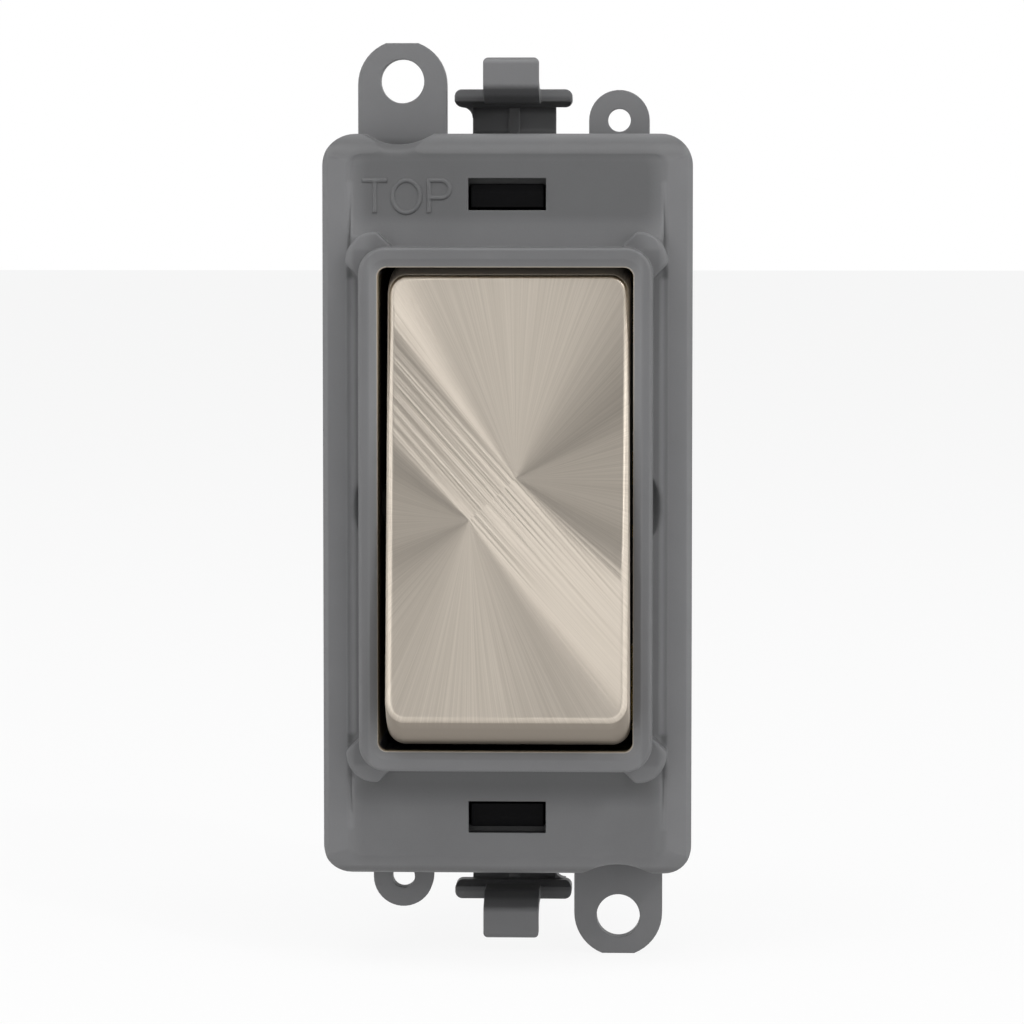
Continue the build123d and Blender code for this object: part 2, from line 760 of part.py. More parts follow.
# Rear case: a tray with three terminal towers along its right side
with BuildPart() as rear_case:
    with BuildSketch(front.offset(-case_rear)):
        RectangleRounded(2 * case_half_width, 2 * case_half_length, case_corner)
    extrude(amount=case_rear + case_front)
    fillet(rear_case.faces().sort_by(Axis.Y)[-1].edges(), case_edge)
    tower_outer_x = case_half_width - tower_inset
    tower_width = tower_outer_x - tower_inner_x
    tower_x = (tower_outer_x + tower_inner_x) / 2
    with BuildSketch(front.offset(-tower_rear)):
        for place in terminal_places.values():
            with Locations((tower_x, place)):
                RectangleRounded(tower_width, 2 * tower_half_width, case_edge)
    extrude(amount=tower_rear - floor_depth)
    tower_faces = rear_case.faces().filter_by(Axis.Y).group_by(Axis.Y)[-1]
    fillet(tower_faces.edges(), case_edge / 2)
    with BuildSketch(front.offset(-floor_depth)):
        Rectangle(2 * case_inner_half_width, 2 * case_inner_half_length)
    extrude(amount=floor_depth + case_front, mode=Mode.SUBTRACT)

    # Pads under the contact strips and the cradle, and ribs either side of each terminal
    pad_right = block_inner_x - terminal_fit
    with BuildSketch(front.offset(-floor_depth)):
        for end in (-1, 1):
            pad_low = tip_reach - fixed_tip_radius
            pad_high = terminal_spacing - terminal_half_width + strip_lap
            with Locations(((pad_right - fixed_tip_radius) / 2, end * (pad_low + pad_high) / 2)):
                Rectangle(pad_right + fixed_tip_radius, pad_high - pad_low)
    extrude(amount=pad_height)
    with BuildSketch(front.offset(-floor_depth)):
        Rectangle(2 * pad_right, 2 * cradle_half_length)
    extrude(amount=floor_depth - cradle_base_rear - pad_gap)
    rib_left = block_inner_x + terminal_fit
    with BuildSketch(front.offset(-floor_depth)):
        for place in terminal_places.values():
            for rib_side in (-1, 1):
                rib_z = place + rib_side * (tower_half_width - tower_wall / 2)
                with Locations(((rib_left + case_inner_half_width) / 2, rib_z)):
                    Rectangle(case_inner_half_width - rib_left, tower_wall)
    extrude(amount=floor_depth - block_front - rib_drop)

    # Terminal pockets, screw wells and flared wire entries
    well_radius = screw_radius + screw_well_clearance
    entry_radius = wire_bore_radius + entry_clearance
    pocket_left = block_inner_x - terminal_fit
    with BuildSketch(front.offset(-tower_floor_depth)):
        for place in terminal_places.values():
            with Locations(((pocket_left + case_inner_half_width) / 2, place)):
                Rectangle(case_inner_half_width - pocket_left, 2 * (terminal_half_width + terminal_fit))
    extrude(amount=tower_floor_depth - block_front, mode=Mode.SUBTRACT)
    with BuildSketch(front.offset(-tower_rear)):
        for place in terminal_places.values():
            with Locations((block_x, place)):
                Circle(well_radius)
    extrude(amount=tower_floor, mode=Mode.SUBTRACT)
    for place in terminal_places.values():
        with BuildSketch(side.offset(case_inner_half_width)):
            with Locations((place, -bore_depth)):
                Circle(entry_radius)
        extrude(amount=case_wall, mode=Mode.SUBTRACT)
        for inset, radius in ((entry_flare, entry_radius), (0, entry_radius + entry_flare)):
            with BuildSketch(side.offset(case_half_width - inset)):
                with Locations((place, -bore_depth)):
                    Circle(radius)
        loft(mode=Mode.SUBTRACT)

    # Posts that close the bearing slots behind the trunnions
    post_inner = opening_half_width + post_side_gap
    post_front = pivot_height - trunnion_radius - bearing_clearance
    with BuildSketch(front.offset(-post_depth)):
        for post_side in (-1, 1):
            with Locations((post_side * (post_inner + case_inner_half_width) / 2, 0)):
                Rectangle(case_inner_half_width - post_inner, 2 * post_half_height)
    extrude(amount=post_depth + post_front)

    # Snap hooks that stand up into the windows
    for end in (-1, 1):
        hook_outer = through_window_outer - hook_clearance
        hook_inner = hook_outer - hook_thickness
        with BuildSketch(side):
            with BuildLine():
                Polyline(
                    (end * hook_inner, -case_wall),
                    (end * hook_inner, panel_height - hook_tip),
                    (end * (hook_outer - hook_nib), panel_height - hook_tip),
                    (end * (hook_outer + hook_nib), ledge_height + hook_nib),
                    (end * (hook_outer + hook_nib), ledge_height + rim_gap),
                    (end * hook_outer, ledge_height + rim_gap),
                    (end * hook_outer, 0),
                    (end * (case_half_length - case_wall / 2), 0),
                    (end * (case_half_length - case_wall / 2), -case_wall),
                    close=True,
                )
            make_face()
        extrude(amount=hook_width / 2, both=True)

pieces = {
    "front_housing": front_housing,
    "rear_case": rear_case,
    "rocker_cap": rocker_cap,
    "rocker_carrier": rocker_carrier,
    "toggle_plunger": toggle_plunger,
    "toggle_spring": toggle_spring,
    "moving_contact": moving_contact,
    "moving_tip_upper": moving_tip_upper,
    "moving_tip_lower": moving_tip_lower,
    "common_cradle": common_cradle,
    "common_terminal": common_terminal,
    "upper_terminal": upper_terminal,
    "lower_terminal": lower_terminal,
    "upper_contact_strip": upper_contact_strip,
    "lower_contact_strip": lower_contact_strip,
    "upper_fixed_tip": upper_fixed_tip,
    "lower_fixed_tip": lower_fixed_tip,
    "terminal_screw_common": terminal_screw_common,
    "terminal_screw_upper": terminal_screw_upper,
    "terminal_screw_lower": terminal_screw_lower,
}

os.makedirs("parts", exist_ok=True)
for name, piece in pieces.items():
    piece.part.label = name
    export_step(piece.part, f"parts/{name}.step")
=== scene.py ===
from math import cos, pi, radians, sin, sqrt

import bpy
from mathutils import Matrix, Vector
from mathutils.bvhtree import BVHTree


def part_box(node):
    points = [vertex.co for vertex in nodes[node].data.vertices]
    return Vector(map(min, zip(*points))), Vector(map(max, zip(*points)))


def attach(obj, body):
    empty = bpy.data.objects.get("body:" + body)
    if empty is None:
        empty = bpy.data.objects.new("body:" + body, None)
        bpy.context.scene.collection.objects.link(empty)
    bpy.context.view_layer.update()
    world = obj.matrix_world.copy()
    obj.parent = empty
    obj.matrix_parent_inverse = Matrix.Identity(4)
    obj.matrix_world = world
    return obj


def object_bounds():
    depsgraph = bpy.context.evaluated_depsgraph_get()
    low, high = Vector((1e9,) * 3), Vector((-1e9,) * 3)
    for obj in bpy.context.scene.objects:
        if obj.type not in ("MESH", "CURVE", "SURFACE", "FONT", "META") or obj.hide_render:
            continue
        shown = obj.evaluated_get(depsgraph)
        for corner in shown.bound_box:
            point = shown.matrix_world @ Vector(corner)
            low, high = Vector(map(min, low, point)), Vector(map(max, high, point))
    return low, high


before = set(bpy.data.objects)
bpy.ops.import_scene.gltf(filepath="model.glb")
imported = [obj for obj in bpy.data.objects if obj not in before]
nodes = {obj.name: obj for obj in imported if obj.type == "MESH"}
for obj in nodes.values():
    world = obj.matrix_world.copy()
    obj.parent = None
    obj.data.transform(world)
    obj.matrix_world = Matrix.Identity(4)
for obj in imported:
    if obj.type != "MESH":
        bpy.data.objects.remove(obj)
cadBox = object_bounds()
mm = 0.001
scene = bpy.context.scene
print("frame loaded")

# A Mix node's sockets share their names, so they are told apart by number
firstValue, secondValue = 2, 3
firstVector, secondVector, mixedVector = 4, 5, 1
firstColour, secondColour, mixedColour = 6, 7, 2

noiseSpread = {"From Min": 0.3, "From Max": 0.7}  # limits that nearly all noise lies between
strokeSpread = {"From Min": 0.4, "From Max": 0.6}  # the same for several noises added up
cloudNoise = {"Detail": 3.0, "Roughness": 0.55}
grainNoise = {"Detail": 3.0}
lineNoise = {"Roughness": 0.6}
fadeOut = {"To Min": 1.0, "To Max": 0.0}
bevelSamples = 6
plasticIor = 1.58  # of polycarbonate, and near enough for the plunger's acetal


# Turns a colour written as sRGB hex into linear light
def linearColour(hexText):
    channels = [int(hexText[i:i + 2], 16) / 255 for i in (0, 2, 4)]
    linear = (c / 12.92 if c <= 0.04045 else ((c + 0.055) / 1.055) ** 2.4 for c in channels)
    return tuple(linear) + (1.0,)


# Adds a shader node with its settings, and with its inputs as values or as sockets to link.
# Gives one of its outputs.
def addNode(tree, kind, inputs={}, output=0, **settings):
    node = tree.nodes.new("ShaderNode" + kind)
    for name, value in settings.items():
        setattr(node, name, value)
    for key, value in inputs.items():
        if isinstance(value, bpy.types.NodeSocket):
            tree.links.new(value, node.inputs[key])
        else:
            node.inputs[key].default_value = value
    return node.outputs[output]


# Gives a new material's tree, its surface shader, and the object's coordinates in millimetres
def newMaterial(name):
    material = bpy.data.materials.new(name)
    material.use_nodes = True
    tree = material.node_tree
    place = addNode(tree, "TexCoord", output="Object")
    inMillimetres = {"Vector": place, "Scale": (mm, mm, mm)}
    place = addNode(tree, "Mapping", inMillimetres, vector_type="TEXTURE")
    return material, tree, tree.nodes["Principled BSDF"], place


# Cloudy colour between two shades, whose clouds are about one size across
def cloudyColour(tree, place, size, look):
    cloud = addNode(tree, "TexNoise", {"Vector": place, "Scale": 1 / size, **cloudNoise})
    amount = addNode(tree, "MapRange", {"Value": cloud, **noiseSpread})
    dark, light = linearColour(look["dark"]), linearColour(look["light"])
    shades = {"Factor": amount, firstColour: dark, secondColour: light}
    return addNode(tree, "Mix", shades, mixedColour, data_type="RGBA")


# Finish made by a grain: roughness between two limits, and relief over edges rounded a little
def finishFromGrain(tree, surface, grain, look, edgeRadius):
    limits = {"To Min": look["smooth"], "To Max": look["rough"]}
    roughness = addNode(tree, "MapRange", {"Value": grain, **noiseSpread, **limits})
    tree.links.new(roughness, surface.inputs["Roughness"])
    edge = addNode(tree, "Bevel", {"Radius": edgeRadius}, samples=bevelSamples)
    relief = {"Height": grain, "Distance": look["grainDepth"] * mm, "Strength": 1.0}
    tree.links.new(addNode(tree, "Bump", {"Normal": edge, **relief}), surface.inputs["Normal"])


# Whether a place is in an area of the piece: 1 inside a box with rounded corners, which can
# stand mirrored at both ends and sides, and 0 beyond its soft edge
def shareInside(tree, place, area):
    corner = area["corner"]
    straight = [half - corner for half in area["half"]]
    if area["bothEnds"]:
        place = addNode(tree, "VectorMath", {0: place}, operation="ABSOLUTE")
    offset = addNode(tree, "VectorMath", {0: place, 1: area["centre"]}, operation="SUBTRACT")
    offset = addNode(tree, "VectorMath", {0: offset}, operation="ABSOLUTE")
    offset = addNode(tree, "VectorMath", {0: offset, 1: straight}, operation="SUBTRACT")
    offset = addNode(tree, "VectorMath", {0: offset, 1: (0, 0, 0)}, operation="MAXIMUM")
    away = addNode(tree, "VectorMath", {0: offset}, "Value", operation="LENGTH")
    edge = {"From Min": corner, "From Max": corner + area["soft"]}
    return addNode(tree, "MapRange", {"Value": away, **edge, **fadeOut})


# Plastic, injection moulded: an even colour with a soft sheen, broken up by the tool's grain.
# Spark grain is about 0.03 mm across, too fine to show, so it is drawn some four times as coarse.
def mouldedPlastic(look):
    material, tree, surface, place = newMaterial(look["name"])
    colour = cloudyColour(tree, place, look["cloudSize"], look)
    # Areas where light or shade is painted into the colour
    for area in look.get("paintedLightAndShade", []):
        share = shareInside(tree, place, area)
        tint = linearColour(area["colour"])
        shades = {"Factor": share, firstColour: colour, secondColour: tint}
        blend = {"data_type": "RGBA", "blend_type": area["blend"]}
        colour = addNode(tree, "Mix", shades, mixedColour, **blend)
    tree.links.new(colour, surface.inputs["Base Color"])

    grain = {"Vector": place, "Scale": 1 / look["grainSize"], **grainNoise}
    grain = addNode(tree, "TexNoise", grain)
    edgeRadius = look["edgeRadius"] * mm
    if "softened" in look:
        share = shareInside(tree, place, look["softened"])
        radii = {"To Min": edgeRadius, "To Max": look["softened"]["edgeRadius"] * mm}
        edgeRadius = addNode(tree, "MapRange", {"Value": share, **radii})
    finishFromGrain(tree, surface, grain, look, edgeRadius)

    if "dulled" in look:
        share = shareInside(tree, place, look["dulled"])
        sheen = {"To Min": look["gloss"], "To Max": look["dulled"]["gloss"]}
        sheen = addNode(tree, "MapRange", {"Value": share, **sheen})
        tree.links.new(sheen, surface.inputs["Specular IOR Level"])
    else:
        surface.inputs["Specular IOR Level"].default_value = look["gloss"]
    surface.inputs["IOR"].default_value = plasticIor
    return material


# Drawn, rolled or headed metal: a satin shine with fine lines along one axis. The real lines
# are about 0.02 mm wide, too fine to show, so they are drawn some three times as wide.
def drawnMetal(look):
    material, tree, surface, place = newMaterial(look["name"])
    colour = cloudyColour(tree, place, look["stainSize"], look)
    tree.links.new(colour, surface.inputs["Base Color"])
    stretch = [look["lineLength"] if axis == look["along"] else 1.0 for axis in "xyz"]
    stretched = {"Vector": place, "Scale": stretch}
    stretched = addNode(tree, "Mapping", stretched, vector_type="TEXTURE")
    lines = {"Vector": stretched, "Scale": 1 / look["lineWidth"], **lineNoise}
    lines = addNode(tree, "TexNoise", lines)
    finishFromGrain(tree, surface, lines, look, look["edgeRadius"] * mm)
    surface.inputs["Metallic"].default_value = 1.0
    return material


# Nickel plate, brushed outward from a short line: warm and satin, with light that fans round
# both ends of the line and a bright band of parallel strokes between them. X is along the line
# and Z across it, in the leaned plane of the face.
def sunrayNickel(look):
    material, tree, surface, place = newMaterial(look["name"])
    toFace = {"Rotation": (look["lean"], look["turn"], 0)}
    offset = addNode(tree, "VectorMath", {0: place, 1: look["centre"]}, operation="SUBTRACT")
    onFace = addNode(tree, "Mapping", {"Vector": offset, **toFace}, vector_type="POINT")
    alongLine = addNode(tree, "SeparateXYZ", {"Vector": onFace}, "X")
    acrossLine = addNode(tree, "SeparateXYZ", {"Vector": onFace}, "Z")
    half = look["halfLine"]
    root = addNode(tree, "Clamp", {"Value": alongLine, "Min": -half, "Max": half})
    pastEnd = addNode(tree, "Math", {0: alongLine, 1: root}, operation="SUBTRACT")
    stroke = addNode(tree, "CombineXYZ", {"X": pastEnd, "Z": acrossLine})
    reach = addNode(tree, "VectorMath", {0: stroke}, "Value", operation="LENGTH")
    outward = addNode(tree, "VectorMath", {0: stroke}, operation="NORMALIZE")

    # Each layer of strokes is noise that changes fast from stroke to stroke and slowly along
    # them. Its mean is taken off, so the layers add up round one middle value.
    middle = 0.5
    strokes = middle
    for layer in look["strokes"]:
        turned = {0: outward, "Scale": layer["turnsAround"]}
        turned = addNode(tree, "VectorMath", turned, operation="SCALE")
        shifted = addNode(tree, "Math", {0: root, 1: layer["across"]}, operation="MULTIPLY")
        shifted = addNode(tree, "CombineXYZ", {"Y": shifted})
        where = addNode(tree, "VectorMath", {0: turned, 1: shifted}, operation="ADD")
        along = addNode(tree, "Math", {0: reach, 1: layer["length"]}, operation="DIVIDE")
        noise = {"Vector": where, "W": along, "Scale": 1.0}
        noise = addNode(tree, "TexNoise", noise, noise_dimensions="4D")
        height = addNode(tree, "Math", {0: noise, 1: middle}, operation="SUBTRACT")
        shares = {0: height, 1: layer["share"], 2: strokes}
        strokes = addNode(tree, "Math", shares, operation="MULTIPLY_ADD")
    amount = addNode(tree, "MapRange", {"Value": strokes, **strokeSpread})
    dark, light = linearColour(look["dark"]), linearColour(look["light"])
    shades = {"Factor": amount, firstColour: dark, secondColour: light}
    colour = addNode(tree, "Mix", shades, mixedColour, data_type="RGBA")

    # The sides of the cap are brushed round it, and are rougher and duller than its face
    forward = (0, -cos(look["lean"]), sin(look["lean"]))
    normal = addNode(tree, "TexCoord", output="Normal")
    facing = {0: normal, 1: forward}
    facing = addNode(tree, "VectorMath", facing, "Value", operation="DOT_PRODUCT")
    limits = {"From Min": look["sideFrom"], "From Max": look["faceFrom"]}
    onSide = addNode(tree, "MapRange", {"Value": facing, **limits, **fadeOut})
    limits = {"From Min": look["wallFrom"], "From Max": look["sideFrom"]}
    onWall = addNode(tree, "MapRange", {"Value": facing, **limits, **fadeOut})
    wallColour = linearColour(look["wallColour"])
    shades = {"Factor": onWall, firstColour: colour, secondColour: wallColour}
    colour = addNode(tree, "Mix", shades, mixedColour, data_type="RGBA")
    tree.links.new(colour, surface.inputs["Base Color"])
    finishFromGrain(tree, surface, strokes, look, look["edgeRadius"] * mm)
    faceRoughness = surface.inputs["Roughness"].links[0].from_socket
    finish = {"Factor": onSide, firstValue: faceRoughness, secondValue: look["sideRoughness"]}
    tree.links.new(addNode(tree, "Mix", finish), surface.inputs["Roughness"])

    # The tangent lies across each stroke. Strokes stray a little, so light catches only some.
    across = {0: (0, -1, 0), 1: outward}
    across = addNode(tree, "VectorMath", across, operation="CROSS_PRODUCT")
    stray = addNode(tree, "Math", {0: strokes, 1: middle}, operation="SUBTRACT")
    stray = addNode(tree, "Math", {0: stray, 1: look["stray"]}, operation="MULTIPLY")
    stray = addNode(tree, "VectorMath", {0: outward, "Scale": stray}, operation="SCALE")
    across = addNode(tree, "VectorMath", {0: across, 1: stray}, operation="ADD")
    across = addNode(tree, "Mapping", {"Vector": across, **toFace}, vector_type="TEXTURE")
    across = addNode(tree, "VectorMath", {0: across}, operation="NORMALIZE")
    ways = {"Factor": onSide, firstVector: across, secondVector: forward}
    across = addNode(tree, "Mix", ways, mixedVector, data_type="VECTOR")
    spaces = {"vector_type": "VECTOR", "convert_from": "OBJECT", "convert_to": "WORLD"}
    across = addNode(tree, "VectorTransform", {"Vector": across}, **spaces)
    tree.links.new(across, surface.inputs["Tangent"])
    surface.inputs["Anisotropic"].default_value = look["anisotropy"]
    surface.inputs["Metallic"].default_value = 1.0
    return material


# Gives a node's object one material in all its slots
def dress(nodeName, material):
    slots = nodes[nodeName].material_slots
    for slot in slots:
        slot.material = material
    if not slots:
        nodes[nodeName].data.materials.append(material)


# Front housing. The areas are boxes in millimetres, and later ones lie over earlier ones.
through = 30.0  # half depth of an area that goes through the whole piece
# The areas paint light and shade into the housing's colour, as said for each below.
housingLook = {
    "name": "grey_moulded_polycarbonate",
    "dark": "656566", "light": "6a6a6b", "cloudSize": 6.0, "gloss": 0.5,
    "grainSize": 0.12, "grainDepth": 0.006, "smooth": 0.46, "rough": 0.58, "edgeRadius": 0.16,
    "paintedLightAndShade": [
        {  # recess of the upper end panel, painted shade
            "centre": (0, 0, 23.6), "half": (10.4, 9, 2.0), "corner": 0.5, "soft": 1.6,
            "bothEnds": False, "colour": "cacaca", "blend": "MULTIPLY",
        },
        {  # lower end panel at the foot of the collar, painted shadow under the collar
            "centre": (0, 0, -20.1), "half": (10.4, 8.7, 0.6), "corner": 0.1, "soft": 1.8,
            "bothEnds": False, "colour": "c0c0c0", "blend": "MULTIPLY",
        },
        {  # recess of the lower end panel, painted shade
            "centre": (0, 0, -23.7), "half": (10.8, 9, 2.5), "corner": 0.5, "soft": 1.0,
            "bothEnds": False, "colour": "ececec", "blend": "MULTIPLY",
        },
        {  # front of the collar along its sides, darkened a little: painted shade
            "centre": (10.7, 0, 0), "half": (0.5, through, 19.0), "corner": 0.1, "soft": 0.25,
            "bothEnds": True, "colour": "ebebeb", "blend": "MULTIPLY",
        },
        {  # front of the collar at its upper end, darkened a little: painted shade
            "centre": (0, 0, 19.3), "half": (9.6, through, 0.8), "corner": 0.3, "soft": 0.9,
            "bothEnds": False, "colour": "e6e6e6", "blend": "MULTIPLY",
        },
        {  # slope from the recess up to the upper rim, painted shade
            "centre": (0, 0, 26.6), "half": (13.0, through, 0.4), "corner": 0.3, "soft": 0.5,
            "bothEnds": False, "colour": "d8d8d8", "blend": "MULTIPLY",
        },
        {  # creases beside the collar, painted lighter against their shade
            "centre": (11.62, 0, 0), "half": (0.06, through, 16.8), "corner": 0.05, "soft": 0.36,
            "bothEnds": True, "colour": "8a8a8b", "blend": "MIX",
        },
        {  # the same creases beside the recesses, painted lighter against their shade
            "centre": (11.68, 0, 22.2), "half": (0.06, through, 1.8), "corner": 0.05, "soft": 0.3,
            "bothEnds": True, "colour": "6e6e6f", "blend": "MIX",
        },
        {  # stems of the latches, painted shade under the plate's edge
            "centre": (0, 0, 29.2), "half": (4.3, through, 1.3), "corner": 0.1, "soft": 0.25,
            "bothEnds": True, "colour": "cacaca", "blend": "MULTIPLY",
        },
        {  # lower rim, painted shade
            "centre": (0, 0, -27.4), "half": (14, through, 0.1), "corner": 0.1, "soft": 0.4,
            "bothEnds": False, "colour": "c8c8c8", "blend": "MULTIPLY",
        },
        {  # rim of the opening, a thin pale warm line: painted highlight
            "centre": (0, 0, 0), "half": (9.44, through, 17.9), "corner": 0.7, "soft": 0.05,
            "bothEnds": True, "colour": "9a9288", "blend": "MIX",
        },
        {  # walls of the opening, paler and warmer: painted light reflected from the cap
            "centre": (0, 0, 0), "half": (9.4, through, 17.85), "corner": 0.7, "soft": 0.02,
            "bothEnds": True, "colour": "968870", "blend": "MIX",
        },
        {  # walls of the windows, painted shade
            "centre": (0, 0, 23.2), "half": (2.88, through, 1.18), "corner": 0.05, "soft": 0.02,
            "bothEnds": True, "colour": "121212", "blend": "MIX",
        },
    ],
    "softened": {  # outer edge of the creases, worn round
        "centre": (11.5, 0, 0), "half": (0.35, through, 26.0), "corner": 0.1, "soft": 0.2,
        "bothEnds": True, "edgeRadius": 0.6,
    },
}
housingPlastic = mouldedPlastic(housingLook)
dress("front_housing", housingPlastic)

# Rear case: the same plastic in black, coarser in grain. Its snap hooks stand in the windows,
# where hardly any light comes back: painted shade darkens them, and their sheen is kept dull.
hookArea = {
    "centre": (0, 9, 23.2), "half": (3.1, 4, 1.5), "corner": 0.05, "soft": 0.02, "bothEnds": True,
}
caseLook = {
    "name": "black_moulded_polycarbonate",
    "dark": "19191a", "light": "1f1f20", "cloudSize": 5.0, "gloss": 0.4,
    "grainSize": 0.15, "grainDepth": 0.008, "smooth": 0.5, "rough": 0.64, "edgeRadius": 0.12,
    "paintedLightAndShade": [{**hookArea, "colour": "0b0b0c", "blend": "MIX"}],
    "dulled": {**hookArea, "gloss": 0.04},
}
dress("rear_case", mouldedPlastic(caseLook))

# Rocker carrier: the case's plastic in a browner black, with a dull moulded skin
carrierLook = {
    "name": "black_moulded_carrier",
    "dark": "1a130c", "light": "211810", "cloudSize": 4.0, "gloss": 0.4,
    "grainSize": 0.12, "grainDepth": 0.005, "smooth": 0.5, "rough": 0.62, "edgeRadius": 0.1,
}
dress("rocker_carrier", mouldedPlastic(carrierLook))

# Plunger: acetal, moulded in a polished tool, which leaves it smooth and waxy
plungerLook = {
    "name": "white_moulded_acetal",
    "dark": "dcdcd4", "light": "e6e6df", "cloudSize": 2.0, "gloss": 0.5,
    "grainSize": 0.1, "grainDepth": 0.002, "smooth": 0.3, "rough": 0.4, "edgeRadius": 0.06,
}
dress("toggle_plunger", mouldedPlastic(plungerLook))
print("mouldings done")

# Rocker cap. Real brush strokes are about 0.02 mm apart, too fine to show, so the finest layer
# is drawn some five times as coarse, and two coarser layers stand for strokes in bunches.
capLook = {
    "name": "sunray_brushed_nickel",
    "centre": (-0.88, -13.6, 0.9), "lean": radians(7.4), "turn": radians(41.8), "halfLine": 2.3,
    "dark": "c2b8ab", "light": "cec4b7",
    "strokes": [
        {"turnsAround": 14.4, "across": 1.8, "length": 40.0, "share": 0.1},
        {"turnsAround": 80.5, "across": 5.5, "length": 25.0, "share": 0.3},
        {"turnsAround": 150.5, "across": 11.0, "length": 14.0, "share": 0.6},
    ],
    "grainDepth": 0.001, "smooth": 0.28, "rough": 0.31, "edgeRadius": 0.2,
    "stray": 0.48, "anisotropy": 1.0,
    "wallFrom": 0.35, "sideFrom": 0.55, "faceFrom": 0.9,
    "sideRoughness": 0.55, "wallColour": "a69d92",
}
dress("rocker_cap", sunrayNickel(capLook))
print("rocker cap done")

# Contact bar, cradle and strips: copper, rolled and blanked, warm with faint rolling lines
copperLook = {
    "name": "blanked_copper_strip",
    "dark": "b8694a", "light": "c97a57", "stainSize": 2.5,
    "along": "z", "lineLength": 14.0, "lineWidth": 0.06,
    "grainDepth": 0.002, "smooth": 0.22, "rough": 0.36, "edgeRadius": 0.06,
}
copper = drawnMetal(copperLook)
for strip in ("moving_contact", "common_cradle", "upper_contact_strip", "lower_contact_strip"):
    dress(strip, copper)

# Contact tips: silver, headed cold from wire, near white and almost a mirror
silverLook = {
    "name": "cold_headed_silver",
    "dark": "d9d7d2", "light": "e6e4df", "stainSize": 1.2,
    "along": "x", "lineLength": 4.0, "lineWidth": 0.08,
    "grainDepth": 0.001, "smooth": 0.2, "rough": 0.32, "edgeRadius": 0.05,
}
silver = drawnMetal(silverLook)
for tip in ("moving_tip_upper", "moving_tip_lower", "upper_fixed_tip", "lower_fixed_tip"):
    dress(tip, silver)

# Terminals and their screws: extruded brass bar, yellow with lines along the bar, and zinc
# plated steel, pale and satin with a trace of yellow
brassLook = {
    "name": "extruded_brass_bar",
    "dark": "b8944f", "light": "c9a860", "stainSize": 3.0,
    "along": "y", "lineLength": 12.0, "lineWidth": 0.08,
    "grainDepth": 0.003, "smooth": 0.2, "rough": 0.34, "edgeRadius": 0.08,
}
brass = drawnMetal(brassLook)
screwLook = {
    "name": "zinc_plated_steel_screw",
    "dark": "b9b6a6", "light": "cbc8ba", "stainSize": 1.5,
    "along": "y", "lineLength": 3.0, "lineWidth": 0.07,
    "grainDepth": 0.002, "smooth": 0.24, "rough": 0.38, "edgeRadius": 0.08,
}
screwSteel = drawnMetal(screwLook)
for level in ("upper", "common", "lower"):
    dress(level + "_terminal", brass)
    dress("terminal_screw_" + level, screwSteel)

# Spring: drawn steel wire, grey and smooth
springLook = {
    "name": "drawn_spring_wire",
    "dark": "9c9c9c", "light": "b0b0b0", "stainSize": 1.5,
    "along": "z", "lineLength": 5.0, "lineWidth": 0.05,
    "grainDepth": 0.001, "smooth": 0.2, "rough": 0.3, "edgeRadius": 0.03,
}
dress("toggle_spring", drawnMetal(springLook))
print("metals done")


# Gives a function that finds a CAD node's front surface at a place in the plane of the plate
def frontSurface(nodeName):
    mesh = nodes[nodeName].data
    faces = [face.vertices for face in mesh.polygons]
    tree = BVHTree.FromPolygons([vertex.co for vertex in mesh.vertices], faces)
    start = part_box(nodeName)[0].y - 1 * mm
    backward = Vector((0, 1, 0))

    def depthAt(x, z):
        return tree.ray_cast(Vector((x, start, z)), backward)[0].y

    return depthAt


# Raised word that shows which end of the module goes up, in millimetres
wordLook = {
    "height": 2.4, "stroke": 0.36, "rise": 0.12, "left": -10.75, "foot": 21.82,
    "pointGap": 0.25, "ringSteps": 32, "bowlSteps": 12, "bowlShare": 0.27, "roundness": 6,
    "letters": {
        "T": {"width": 1.85, "start": 0.0},
        "O": {"width": 2.05, "start": 2.25},
        "P": {"width": 1.55, "start": 4.95},
    },
}


# Centre lines of the three letters, each a list of places (across, up)
def letterLines(look):
    top = look["height"]
    tee, oh, pee = (look["letters"][letter] for letter in "TOP")
    middle = tee["width"] / 2
    lines = [
        [(tee["start"], top), (tee["start"] + tee["width"], top)],
        [(tee["start"] + middle, top), (tee["start"] + middle, 0)],
    ]
    centre = oh["start"] + oh["width"] / 2
    steps = look["ringSteps"]
    turns = [2 * pi * step / steps for step in range(steps + 1)]
    ring = [(centre + cos(t) * oh["width"] / 2, top / 2 + sin(t) * top / 2) for t in turns]
    lines.append(ring)
    bowl = top * look["bowlShare"]
    straight = pee["start"] + pee["width"] - bowl
    steps = look["bowlSteps"]
    turns = [pi / 2 - pi * step / steps for step in range(steps + 1)]
    arc = [(straight + cos(t) * bowl, top - bowl + sin(t) * bowl) for t in turns]
    lines.append([(pee["start"], 0), (pee["start"], top)] + arc + [(pee["start"], top - 2 * bowl)])
    return lines


# Adds points along straight stretches so that a line can follow the surface below it
def dividedLine(line, gap):
    out = [line[0]]
    for (x0, z0), (x1, z1) in zip(line, line[1:]):
        count = max(1, round(sqrt((x1 - x0) ** 2 + (z1 - z0) ** 2) / gap))
        shares = [i / count for i in range(1, count + 1)]
        out += [(x0 + (x1 - x0) * share, z0 + (z1 - z0) * share) for share in shares]
    return out


